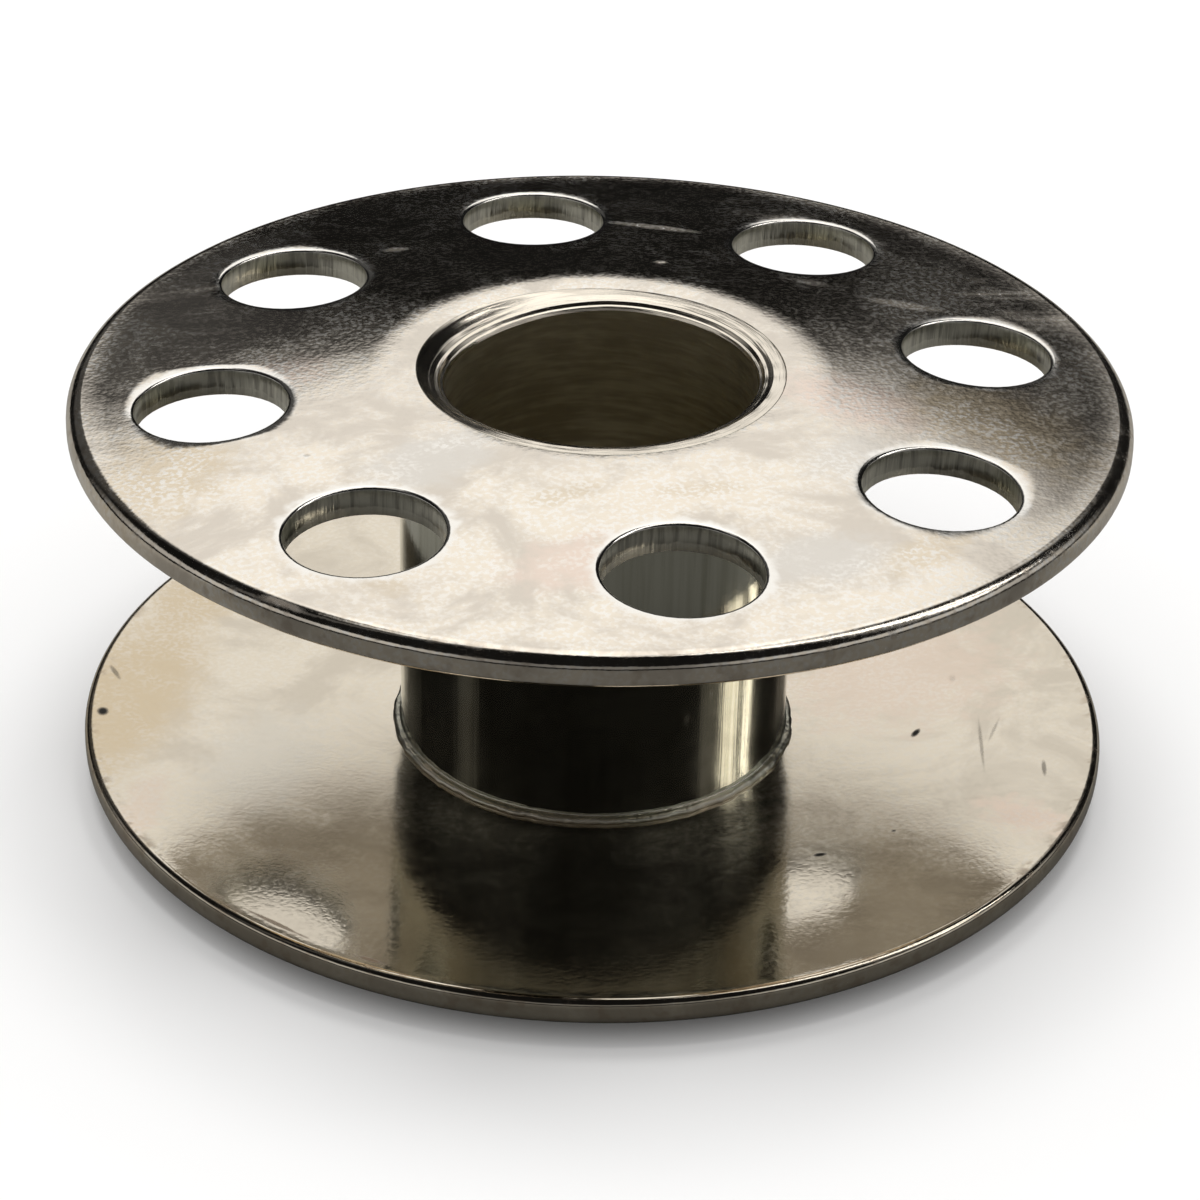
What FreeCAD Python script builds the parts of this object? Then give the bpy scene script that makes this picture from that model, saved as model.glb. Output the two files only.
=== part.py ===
import FreeCAD, Part
import math
import os
import Sketcher

# Sewing machine bobbin, swaged from three pieces: a turned hub tube and two stamped, slightly dished discs.
# The axis is Z. The bobbin stands on the flat land of its lower disc, so Z is 0 there.

# Driving dimensions in millimetres (hole_count is a number of holes)
driving = {
    "flange_diameter": "21.0",
    "sheet_thickness": "0.6",
    "dish_rise": "0.38",
    "land_margin": "0.26",
    "rim_roll": "0.2",
    "rim_break": "0.1",
    "seat_spacing": "7.46",
    "bore_diameter": "6.2",
    "hub_wall": "0.9",
    "bead_proud": "0.24",
    "bead_height": "0.15",
    "bead_slope": "0.05",
    "neck_wall": "0.35",
    "sink_width": "0.27",
    "sink_depth": "0.3",
    "sink_break": "0.03",
    "eye_reach": "0.28",
    "eye_drop": "0.06",
    "eye_roll": "2.0",
    "lip_reach": "0.2",
    "lip_break": "0.05",
    "mouth_round": "0.45",
    "hole_count": "8",
    "hole_diameter": "3.0",
    "hole_offset": "0.2",
    "hole_roll": "0.1",
}

doc = FreeCAD.newDocument("bobbin")
sheet = doc.addObject("Spreadsheet::Sheet", "Sheet")
for row, (alias, value) in enumerate(driving.items(), start=1):
    sheet.set(f"A{row}", alias)
    sheet.set(f"B{row}", value)
    sheet.setAlias(f"B{row}", alias)
doc.recompute()

# Radii and levels that several profiles share, as expressions on the sheet
rim_radius = "(Sheet.flange_diameter / 2)"
bore_radius = "(Sheet.bore_diameter / 2)"
hub_radius = f"({bore_radius} + Sheet.hub_wall)"
bead_radius = f"({hub_radius} + Sheet.bead_proud)"
land_radius = f"({bead_radius} + Sheet.land_margin)"
neck_radius = f"({bore_radius} + Sheet.neck_wall)"
lip_radius = f"({neck_radius} + Sheet.lip_reach)"
sink_radius = f"({neck_radius} + Sheet.sink_width)"
eye_radius = f"({sink_radius} + Sheet.eye_reach)"
sink_mouth = "(Sheet.sheet_thickness - Sheet.eye_drop)"
sink_floor = f"({sink_mouth} - Sheet.sink_depth)"
lip_seat = f"({sink_floor} + Sheet.lip_reach * Sheet.sink_depth / Sheet.sink_width)"
rim_face = "(Sheet.sheet_thickness - Sheet.dish_rise)"
hole_reach = f"(({rim_radius} + {land_radius}) / 2 + Sheet.hole_offset)"

# How far apart two lengths may lie and still count as the same place
touch = 1e-4


def origin_part(body, role):
    return next(item for item in body.Origin.OriginFeatures if item.Role == role)


def new_body(label):
    body = doc.addObject("PartDesign::Body", label)
    body.Label = label
    return body


def value_of(expression):
    return float(doc.Sheet.evalExpression(expression))


def new_sketch(body, name, plane):
    sketch = body.newObject("Sketcher::SketchObject", name)
    sketch.AttachmentSupport = (origin_part(body, plane), [""])
    sketch.MapMode = "FlatFace"
    return sketch


def hold_value(sketch, constraint, name, expression):
    # Adds a constraint under a name and ties its value to the sheet
    sketch.renameConstraint(sketch.addConstraint(constraint), name)
    sketch.setExpression(f"Constraints.{name}", expression)


def hold_point(sketch, edge, end, name, radius, height):
    # Ties one end of an edge to its radius and height, both expressions on the sheet
    across = Sketcher.Constraint("DistanceX", -1, 1, edge, end, value_of(radius))
    hold_value(sketch, across, name + "_radius", radius)
    if height == "0":
        sketch.addConstraint(Sketcher.Constraint("PointOnObject", edge, end, -1))
    else:
        along = Sketcher.Constraint("DistanceY", -1, 1, edge, end, value_of(height))
        hold_value(sketch, along, name + "_height", height)


def outline_sketch(body, name, corners):
    # Closed profile of named corners: radius, height and, where the corner is round, its rounding
    sketch = new_sketch(body, name, "XZ_Plane")
    points = [FreeCAD.Vector(value_of(radius), value_of(height), 0) for _, radius, height, _ in corners]
    arrivals = []
    leavings = []
    middles = []
    for index, point in enumerate(points):
        inward = (point - points[index - 1]).normalize()
        onward = (points[(index + 1) % len(points)] - point).normalize()
        rounding = corners[index][3]
        size = value_of(rounding) if rounding else 0
        turn = inward.getAngle(onward)
        trim = size * math.tan(turn / 2)
        arrivals.append(point - inward * trim)
        leavings.append(point + onward * trim)
        middles.append(point + (onward - inward).normalize() * size * (1 / math.cos(turn / 2) - 1))
    lines = []
    for index, leaving in enumerate(leavings):
        side = Part.LineSegment(leaving, arrivals[(index + 1) % len(points)])
        lines.append(sketch.addGeometry(side, False))
    for index, (corner, radius, height, rounding) in enumerate(corners):
        before = lines[index - 1]
        after = lines[index]
        if not rounding:
            sketch.addConstraint(Sketcher.Constraint("Coincident", before, 2, after, 1))
            hold_point(sketch, after, 1, corner, radius, height)
            continue
        arc = sketch.addGeometry(Part.Arc(arrivals[index], middles[index], leavings[index]), False)
        first = 1 if sketch.getPoint(arc, 1).distanceToPoint(arrivals[index]) < touch else 2
        sketch.addConstraint(Sketcher.Constraint("Tangent", before, 2, arc, first))
        sketch.addConstraint(Sketcher.Constraint("Tangent", arc, 3 - first, after, 1))
        arc_size = Sketcher.Constraint("Radius", arc, value_of(rounding))
        hold_value(sketch, arc_size, corner + "_round", rounding)
        peak = sketch.addGeometry(Part.Point(points[index]), True)
        sketch.addConstraint(Sketcher.Constraint("PointOnObject", peak, 1, before))
        sketch.addConstraint(Sketcher.Constraint("PointOnObject", peak, 1, after))
        hold_point(sketch, peak, 1, corner, radius, height)
    return sketch


def turned(body, name, sketch):
    # Turns a profile once round the Z axis
    turn = body.newObject("PartDesign::Revolution", name)
    turn.Profile = sketch
    turn.ReferenceAxis = (sketch, ["V_Axis"])
    turn.Angle = 360
    doc.recompute()
    return turn


def ring_edges(feature, radius):
    # Names of the circular edges of one radius round the Z axis, the lowest first
    wanted = value_of(radius)
    found = []
    for number, edge in enumerate(feature.Shape.Edges, start=1):
        if not isinstance(edge.Curve, Part.Circle):
            continue
        centre = edge.Curve.Center
        if math.hypot(centre.x, centre.y) < touch and abs(edge.Curve.Radius - wanted) < touch:
            found.append((centre.z, f"Edge{number}"))
    return [name for _, name in sorted(found)]


def broken(body, name, base, edges, size):
    # Breaks sharp edges with a small chamfer
    chamfer = body.newObject("PartDesign::Chamfer", name)
    chamfer.Base = (base, edges)
    chamfer.setExpression("Size", size)
    doc.recompute()
    return chamfer


# Hub tube: bore, shoulder bead and swaged lip, the same at both ends; its own Z is 0 on the lower seat
def hub_tube():
    body = new_body("hub_tube")
    one_end = [
        ("mouth", bore_radius, sink_mouth, "Sheet.mouth_round"),
        ("lip", lip_radius, sink_mouth, None),
        ("lip_under", lip_radius, lip_seat, None),
        ("neck_top", neck_radius, sink_floor, None),
        ("neck_foot", neck_radius, "0", None),
        ("bead_seat", bead_radius, "0", None),
        ("bead_top", bead_radius, "-Sheet.bead_height", None),
        ("hub", hub_radius, "-Sheet.bead_height", None),
    ]
    corners = []
    for name, radius, height, rounding in one_end:
        corners.append(("upper_" + name, radius, f"Sheet.seat_spacing + {height}", rounding))
    for name, radius, height, rounding in reversed(one_end):
        corners.append(("lower_" + name, radius, "0" if height == "0" else f"-({height})", rounding))
    tube = turned(body, "tube", outline_sketch(body, "tube_profile", corners))
    lips = ring_edges(tube, lip_radius)
    swaged = broken(body, "swaged_lips", tube, [lips[0], lips[-1]], "Sheet.lip_break")
    beads = ring_edges(swaged, bead_radius)
    body.Tip = broken(body, "shoulder_beads", swaged, [beads[1], beads[-2]], "Sheet.bead_slope")
    body.setExpression("Placement.Base.z", "Sheet.sheet_thickness")
    return body


# Stamped disc: a flat land round a drawn-in, countersunk eye, dished from the land to the rim
# Its own Z is 0 on the seat, and its outer face looks up
def stamped_disc(label):
    body = new_body(label)
    corners = [
        ("eye_seat", neck_radius, "0", None),
        ("land_seat", land_radius, "0", None),
        ("rim_inside", rim_radius, "-Sheet.dish_rise", None),
        ("rim_outside", rim_radius, rim_face, None),
        ("land_face", land_radius, "Sheet.sheet_thickness", None),
        ("eye_face", eye_radius, "Sheet.sheet_thickness", "Sheet.eye_roll"),
        ("sink_mouth", sink_radius, sink_mouth, None),
        ("sink_floor", neck_radius, sink_floor, None),
    ]
    disc = turned(body, "disc", outline_sketch(body, "disc_profile", corners))
    rolled = broken(body, "rim_rolling", disc, ring_edges(disc, rim_radius)[-1:], "Sheet.rim_roll")
    rim = broken(body, "rim_breaking", rolled, ring_edges(rolled, rim_radius)[:1], "Sheet.rim_break")
    body.Tip = broken(body, "sink_breaking", rim, ring_edges(rim, sink_radius), "Sheet.sink_break")
    doc.recompute()
    return body


# Lower disc: plain, turned over so that its seat faces up
def lower_flange():
    body = stamped_disc("lower_flange")
    turned_over = FreeCAD.Rotation(FreeCAD.Vector(1, 0, 0), 180)
    body.Placement = FreeCAD.Placement(FreeCAD.Vector(0, 0, 0), turned_over)
    body.setExpression("Placement.Base.z", "Sheet.sheet_thickness")
    return body


def punched_edges(feature):
    # Names of the edges where the punched holes meet the outer face of the disc
    hole_radius = value_of("Sheet.hole_diameter / 2")
    count = round(value_of("Sheet.hole_count"))
    names = []
    for index in range(count):
        turn = FreeCAD.Rotation(FreeCAD.Vector(0, 0, 1), 360.0 * index / count)
        centre = turn.multVec(FreeCAD.Vector(value_of(hole_reach), 0, 0))
        found = []
        for number, edge in enumerate(feature.Shape.Edges, start=1):
            start, end = edge.ParameterRange
            spots = [edge.valueAt(start), edge.valueAt((start + end) / 2), edge.valueAt(end)]
            misses = [abs(math.hypot(spot.x - centre.x, spot.y - centre.y) - hole_radius) for spot in spots]
            if max(misses) < touch:
                found.append((edge.CenterOfMass.z, f"Edge{number}"))
        names.append(max(found)[1])
    return names


# Upper disc: the same blank with a ring of punched holes, rolled over on the punch's side
def upper_flange():
    body = stamped_disc("upper_flange")
    blank_volume = body.Shape.Volume
    sketch = new_sketch(body, "hole_outline", "XY_Plane")
    centre = FreeCAD.Vector(value_of(hole_reach), 0, 0)
    upright = FreeCAD.Vector(0, 0, 1)
    sketch.addGeometry(Part.Circle(centre, upright, value_of("Sheet.hole_diameter / 2")), False)
    hold_point(sketch, 0, 3, "hole", hole_reach, "0")
    hole_size = Sketcher.Constraint("Diameter", 0, value_of("Sheet.hole_diameter"))
    hold_value(sketch, hole_size, "hole_size", "Sheet.hole_diameter")
    punch = body.newObject("PartDesign::Pocket", "punched_hole")
    punch.Profile = sketch
    punch.Type = "ThroughAll"
    punch.SideType = "Symmetric"
    doc.recompute()
    ring = body.newObject("PartDesign::PolarPattern", "hole_ring")
    ring.Originals = [punch]
    ring.Axis = (origin_part(body, "Z_Axis"), [""])
    ring.Angle = 360
    ring.setExpression("Occurrences", "Sheet.hole_count")
    body.Tip = ring
    doc.recompute()
    if body.Shape.Volume >= blank_volume:
        raise RuntimeError("the holes of the upper flange cut nothing")
    body.Tip = broken(body, "hole_rolling", ring, punched_edges(ring), "Sheet.hole_roll")
    body.setExpression("Placement.Base.z", "Sheet.sheet_thickness + Sheet.seat_spacing")
    return body


pieces = [hub_tube(), lower_flange(), upper_flange()]
doc.recompute()

for item in doc.Objects:
    if "Invalid" in item.State or "Error" in item.State:
        raise RuntimeError(f"{item.Label} did not build: {item.State}")
for piece in pieces:
    if piece.Shape.isNull() or not piece.Shape.isValid():
        raise RuntimeError(f"{piece.Label} has no valid shape")

os.makedirs("parts", exist_ok=True)
for piece in pieces:
    piece.Shape.exportStep(f"parts/{piece.Label}.step")
    box = piece.Shape.optimalBoundingBox()
    print(f"{piece.Label}: {piece.Shape.Volume:.2f} mm3, Z from {box.ZMin:.3f} to {box.ZMax:.3f}")
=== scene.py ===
import math

import bmesh
import bpy
from mathutils import Matrix, Vector, noise


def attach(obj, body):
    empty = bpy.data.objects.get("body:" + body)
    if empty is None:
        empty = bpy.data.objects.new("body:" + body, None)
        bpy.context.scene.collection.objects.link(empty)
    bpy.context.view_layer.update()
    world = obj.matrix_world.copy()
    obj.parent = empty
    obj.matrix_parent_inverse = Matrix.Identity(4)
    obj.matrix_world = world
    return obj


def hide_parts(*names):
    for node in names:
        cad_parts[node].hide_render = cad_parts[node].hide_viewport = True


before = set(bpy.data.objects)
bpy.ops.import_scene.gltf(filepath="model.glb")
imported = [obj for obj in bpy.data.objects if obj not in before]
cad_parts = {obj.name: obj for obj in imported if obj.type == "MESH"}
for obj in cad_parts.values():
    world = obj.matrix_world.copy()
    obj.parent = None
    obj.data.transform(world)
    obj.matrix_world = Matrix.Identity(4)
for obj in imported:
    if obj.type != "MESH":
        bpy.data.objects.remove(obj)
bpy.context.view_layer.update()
print("frame loaded:", ", ".join(sorted(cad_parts)))

scene = bpy.context.scene
scene.view_settings.view_transform = "Standard"
toMetres = 0.001  # outlines below are in millimetres
toMillimetres = 1000.0


# node helpers
def addNode(tree, kind, values=None, **settings):
    made = tree.nodes.new("ShaderNode" + kind)
    for name, value in settings.items():
        setattr(made, name, value)
    for key, value in (values or {}).items():
        if isinstance(value, bpy.types.NodeSocket):
            tree.links.new(value, made.inputs[key])
        else:
            made.inputs[key].default_value = value
    return made


def calc(tree, operation, *values):
    return addNode(tree, "Math", dict(enumerate(values)), operation=operation).outputs[0]


def ramp(tree, value, low, high, toLow=0.0, toHigh=1.0):
    values = {"Value": value, "From Min": low, "From Max": high, "To Min": toLow, "To Max": toHigh}
    return addNode(tree, "MapRange", values, interpolation_type="SMOOTHSTEP").outputs[0]


def blendColour(tree, share, first, second):
    values = {0: share, 6: first, 7: second}
    return addNode(tree, "Mix", values, data_type="RGBA").outputs[2]


def cloudNoise(tree, vector, scale, detail=2.0, roughness=0.5, distortion=0.0):
    values = {"Vector": vector, "Scale": scale, "Detail": detail, "Roughness": roughness,
              "Distortion": distortion}
    return addNode(tree, "TexNoise", values).outputs[0]


def millimetres(tree):
    place = addNode(tree, "TexCoord").outputs["Object"]
    return addNode(tree, "Mapping", {"Vector": place, "Scale": (toMillimetres,) * 3}).outputs[0]


# distance of a spot from the bobbin's axis
def axisDistance(tree, spot):
    flat = addNode(tree, "VectorMath", {0: spot, 1: (1, 1, 0)}, operation="MULTIPLY")
    return addNode(tree, "VectorMath", {0: flat.outputs[0]}, operation="LENGTH").outputs["Value"]


def newGroup(name, inputs, outputs):
    tree = bpy.data.node_groups.new(name, "ShaderNodeTree")
    for socketName, kind, value in inputs:
        socket = tree.interface.new_socket(socketName, in_out="INPUT", socket_type="NodeSocket" + kind)
        socket.default_value = value
    for socketName in outputs:
        tree.interface.new_socket(socketName, in_out="OUTPUT", socket_type="NodeSocketFloat")
    return tree, tree.nodes.new("NodeGroupInput").outputs, tree.nodes.new("NodeGroupOutput").inputs


def useGroup(tree, group, values):
    made = tree.nodes.new("ShaderNodeGroup")
    made.node_tree = group
    for key, value in values.items():
        if isinstance(value, bpy.types.NodeSocket):
            tree.links.new(value, made.inputs[key])
        else:
            made.inputs[key].default_value = value
    return made.outputs


# skin of the plating: fine peel, slow waves, clouds of paler plate and a ragged noise for the edges of marks
def platePeelGroup():
    tree, given, put = newGroup(
        "platePeel",
        [("Vector", "Vector", (0, 0, 0)), ("Fine Scale", "Float", 10.0), ("Wave Scale", "Float", 1.2),
         ("Cloud Scale", "Float", 0.48)],
        ["Height", "Cloud", "Grain", "Rag"])
    fine = cloudNoise(tree, given["Vector"], given["Fine Scale"], 1.0, 0.5)
    wave = cloudNoise(tree, given["Vector"], given["Wave Scale"], 1.0, 0.5)
    cloud = cloudNoise(tree, given["Vector"], given["Cloud Scale"], 4.0, 0.66, 0.5)
    rag = cloudNoise(tree, given["Vector"], 2.6, 2.0, 0.6)
    tree.links.new(calc(tree, "MULTIPLY_ADD", wave, 0.8, calc(tree, "MULTIPLY", fine, 0.4)), put["Height"])
    tree.links.new(ramp(tree, cloud, 0.38, 0.62), put["Cloud"])
    tree.links.new(ramp(tree, fine, 0.42, 0.66), put["Grain"])
    tree.links.new(calc(tree, "SUBTRACT", rag, 0.5), put["Rag"])
    return tree


# one soft oval mark with a ragged edge
def softMarkGroup():
    tree, given, put = newGroup(
        "softMark",
        [("Vector", "Vector", (0, 0, 0)), ("Rag", "Float", 0.0), ("Centre", "Vector", (0, 0, 0)),
         ("Turn", "Float", 0.0), ("Size", "Vector", (1, 1, 1)), ("Raggedness", "Float", 0.3),
         ("Strength", "Float", 1.0)],
        ["Mask"])
    moved = addNode(tree, "VectorMath", {0: given["Vector"], 1: given["Centre"]}, operation="SUBTRACT")
    back = calc(tree, "MULTIPLY", given["Turn"], -1.0)
    turned = addNode(tree, "VectorRotate", {"Vector": moved.outputs[0], "Angle": back},
                     rotation_type="Z_AXIS")
    sized = addNode(tree, "VectorMath", {0: turned.outputs[0], 1: given["Size"]}, operation="DIVIDE")
    reach = addNode(tree, "VectorMath", {0: sized.outputs[0]}, operation="LENGTH").outputs["Value"]
    edge = calc(tree, "MULTIPLY_ADD", given["Rag"], calc(tree, "MULTIPLY", given["Raggedness"], 4.0), reach)
    mask = calc(tree, "MULTIPLY", ramp(tree, edge, 0.4, 1.2, 1.0, 0.0), given["Strength"])
    tree.links.new(mask, put["Mask"])
    return tree


# grime and small knocks along the rim
def rimWearGroup():
    tree, given, put = newGroup(
        "rimWear",
        [("Vector", "Vector", (0, 0, 0)), ("Rag", "Float", 0.0), ("Start", "Float", 10.1),
         ("End", "Float", 10.34)],
        ["Grime", "Knocks"])
    near = ramp(tree, axisDistance(tree, given["Vector"]), given["Start"], given["End"])
    knocks = cloudNoise(tree, given["Vector"], 3.4, 2.0, 0.6)
    tree.links.new(calc(tree, "MULTIPLY", near, ramp(tree, given["Rag"], 0.02, 0.16)), put["Grime"])
    tree.links.new(calc(tree, "MULTIPLY", near, knocks), put["Knocks"])
    return tree


platePeel = platePeelGroup()
softMark = softMarkGroup()
rimWear = rimWearGroup()


def markMask(tree, vector, rag, marks, height):
    deep = 1000  # a mark is the same on both faces of the sheet
    total = None
    for x, y, turn, length, width, raggedness, strength in marks:
        mark = useGroup(tree, softMark, {
            "Vector": vector, "Rag": rag, "Centre": (x, y, height), "Turn": math.radians(turn),
            "Size": (length, width, deep), "Raggedness": raggedness, "Strength": strength})["Mask"]
        total = mark if total is None else calc(tree, "MAXIMUM", total, mark)
    return total


def newMaterial(name):
    material = bpy.data.materials.new(name)
    material.use_nodes = True
    tree = material.node_tree
    return material, tree, tree.nodes["Principled BSDF"]


def newMetal(name):
    material, tree, shader = newMaterial(name)
    shader.inputs["Metallic"].default_value = 1
    return material, tree, shader


def addRelief(tree, shader, height, depth):
    bump = addNode(tree, "Bump", {"Height": height, "Strength": 1.0, "Distance": depth})
    tree.links.new(bump.outputs[0], shader.inputs["Normal"])


# marks are (x, y, turn in degrees, half length, half width, raggedness, strength), in millimetres
upperFinish = {
    "dull": (0.705, 0.645, 0.565, 1),
    "cream": (0.905, 0.825, 0.705, 1),
    "rose": (0.86, 0.715, 0.62, 1),
    "cool": (0.74, 0.705, 0.65, 1),
    "yellow": (0.7, 0.59, 0.43, 1),
    "grime": (0.4, 0.31, 0.23, 1),
    # painted highlight colour, used for the painted glints and the painted glow round the holes
    "paintedHighlight": (0.95, 0.925, 0.875, 1),
    "height": 8.5,
    "roughLow": 0.062,
    "roughCloud": 0.025,
    "roughHaze": 0.06,
    "roughGrain": 0.045,
    "paintedGlints": 0.85,
    # strength of the painted glow round the holes
    "paintedHoleGlow": 1.0,
    "peelDepth": 0.000003,
    "hazeWay": (0.98, -0.2, 0),
    "hazeFrom": 2.0,
    "hazeTo": 8.0,
    "roseMarks": [(-1.4, -7.2, 5, 1.9, 1.0, 0.3, 0.8), (4.7, -2.0, -40, 1.8, 1.1, 0.3, 0.9),
                  (-6.6, 0.6, 30, 1.6, 0.9, 0.3, 0.8), (6.0, -5.6, 40, 1.4, 0.9, 0.3, 0.7)],
    "coolMarks": [(2.5, -7.7, 10, 1.7, 1.0, 0.3, 0.9), (-3.9, -3.2, 30, 1.6, 1.0, 0.3, 0.9),
                  (3.9, -4.2, 40, 1.2, 0.8, 0.3, 0.7)],
    "yellowMarks": [(-1.6, -4.9, 15, 0.9, 0.35, 0.35, 0.45), (0.9, -5.1, 0, 1.0, 0.3, 0.35, 0.4),
                    (4.7, -7.5, 35, 1.4, 0.5, 0.4, 0.5), (-5.4, -7.2, -50, 0.9, 0.35, 0.4, 0.4),
                    (7.4, -3.1, -60, 2.6, 1.5, 0.3, 1.0), (-8.7, -2.2, 75, 2.4, 1.3, 0.3, 0.75)],
    "smears": [(2.5, 6.8, -24, 1.1, 0.16, 0.15, 0.6), (-3.15, 6.45, 2, 0.32, 0.14, 0.15, 0.45),
               (2.2, 4.77, 0, 0.16, 0.11, 0.1, 0.7), (6.8, 2.25, -25, 0.8, 0.2, 0.2, 0.3),
               (5.2, 3.4, -30, 0.5, 0.16, 0.2, 0.25), (-6.9, 4.6, 40, 1.3, 0.5, 0.3, 0.12)],
    "wipes": [(9.2, 2.2, -57, 2.0, 0.9, 0.2, 0.9), (4.8, 7.8, -40, 1.8, 0.7, 0.2, 0.5),
              (-7.6, 5.4, 35, 1.8, 1.0, 0.2, 0.6)],
    "wipeTurn": 57,
    "specks": [(-6.14, -2.52, 0, 0.08, 0.06, 0.1, 0.25)],
    "rust": [(-7.2, -7.45, -44, 0.5, 0.06, 0.3, 0.3)],
}

lowerFinish = {
    "dull": (0.62, 0.56, 0.465, 1),
    "cream": (0.755, 0.685, 0.565, 1),
    "rose": (0.73, 0.605, 0.5, 1),
    "cool": (0.675, 0.63, 0.545, 1),
    "yellow": (0.63, 0.52, 0.36, 1),
    "grime": (0.4, 0.28, 0.18, 1),
    # painted highlight colour, used for the painted glints
    "paintedHighlight": (0.86, 0.83, 0.77, 1),
    "height": 0.8,
    "roughLow": 0.13,
    "roughCloud": 0.03,
    "roughHaze": -0.065,
    "roughGrain": 0.03,
    "paintedGlints": 0.3,
    "paintedHoleGlow": 0.0,
    "peelDepth": 0.0000022,
    "hazeWay": (-0.2, -0.98, 0),
    "hazeFrom": 3.5,
    "hazeTo": 6.5,
    "roseMarks": [(7.7, -5.6, -50, 1.2, 0.6, 0.4, 1.0), (6.6, 0.5, 10, 3.0, 2.5, 0.3, 0.7),
                  (-9.6, -2.6, 70, 1.6, 0.5, 0.3, 0.6)],
    "coolMarks": [(-7.0, -1.0, 70, 2.4, 1.3, 0.3, 0.8)],
    "yellowMarks": [(-9.5, 1.7, 68, 4.2, 1.5, 0.12, 0.9), (-7.8, 5.4, 58, 2.2, 1.0, 0.15, 0.8)],
    "smears": [(7.6, -2.75, 77, 1.1, 0.06, 0.1, 0.25), (8.0, -2.3, 60, 0.5, 0.05, 0.1, 0.2),
               (8.57, -3.95, 75, 0.32, 0.06, 0.1, 0.5), (7.73, -0.12, 70, 0.16, 0.09, 0.1, 0.4)],
    "wipes": [(6.0, -4.0, -20, 2.0, 0.8, 0.3, 0.2)],
    "wipeTurn": 20,
    "specks": [(6.42, -2.0, 50, 0.17, 0.07, 0.1, 1.0), (3.37, -6.03, 5, 0.15, 0.07, 0.1, 1.0),
               (-10.07, 1.12, 80, 0.16, 0.12, 0.1, 1.0), (-9.71, 2.63, 105, 0.3, 0.06, 0.2, 0.4),
               (5.0, -5.5, 10, 0.05, 0.04, 0.1, 0.8), (7.6, -2.75, 77, 1.0, 0.04, 0.1, 0.17),
               (8.0, -2.3, 60, 0.5, 0.035, 0.1, 0.13), (8.57, -3.95, 75, 0.32, 0.05, 0.1, 0.25)],
    "rust": [(-5.85, -8.3, -35, 0.3, 0.06, 0.3, 0.8), (-7.4, -6.9, -47, 0.8, 0.05, 0.3, 0.5)],
}


# wear and dirt that both discs share
plateWear = {
    "rustColour": (0.27, 0.17, 0.1, 1),
    "speckColour": (0.02, 0.018, 0.015, 1),
    "rimGrime": 0.3,
    "rimGrimeRough": 0.1,
    "smearRough": 0.25,
    "smearHeight": -0.4,
    "wipeRough": 0.14,
    "wipeStretch": (0.2, 2.4, 1),
    "dirtRough": 0.4,
    "dirtMetallic": -0.8,
    "knockHeight": 1.5,
}


# painted highlight: a pale glow painted round the punched holes; the ring of holes is folded onto one
def paintedHoleGlow(tree, spot, rag):
    h = holeShape
    step = 2 * math.pi / h["count"]
    axes = addNode(tree, "SeparateXYZ", {0: spot}).outputs
    radius = axisDistance(tree, spot)
    angle = calc(tree, "ADD", calc(tree, "ARCTAN2", axes["Y"], axes["X"]), math.pi + step / 2)
    folded = calc(tree, "SUBTRACT", calc(tree, "MODULO", angle, step), step / 2)
    along = calc(tree, "MULTIPLY", radius, calc(tree, "COSINE", folded))
    along = calc(tree, "SUBTRACT", along, h["circleRadius"])
    aside = calc(tree, "MULTIPLY", radius, calc(tree, "SINE", folded))
    away = calc(tree, "SQRT", calc(tree, "ADD", calc(tree, "MULTIPLY", along, along),
                                   calc(tree, "MULTIPLY", aside, aside)))
    edge = calc(tree, "MULTIPLY_ADD", rag, 0.5, calc(tree, "SUBTRACT", away, h["radius"]))
    return ramp(tree, edge, 0.06, 0.28, 1.0, 0.0)


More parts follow.
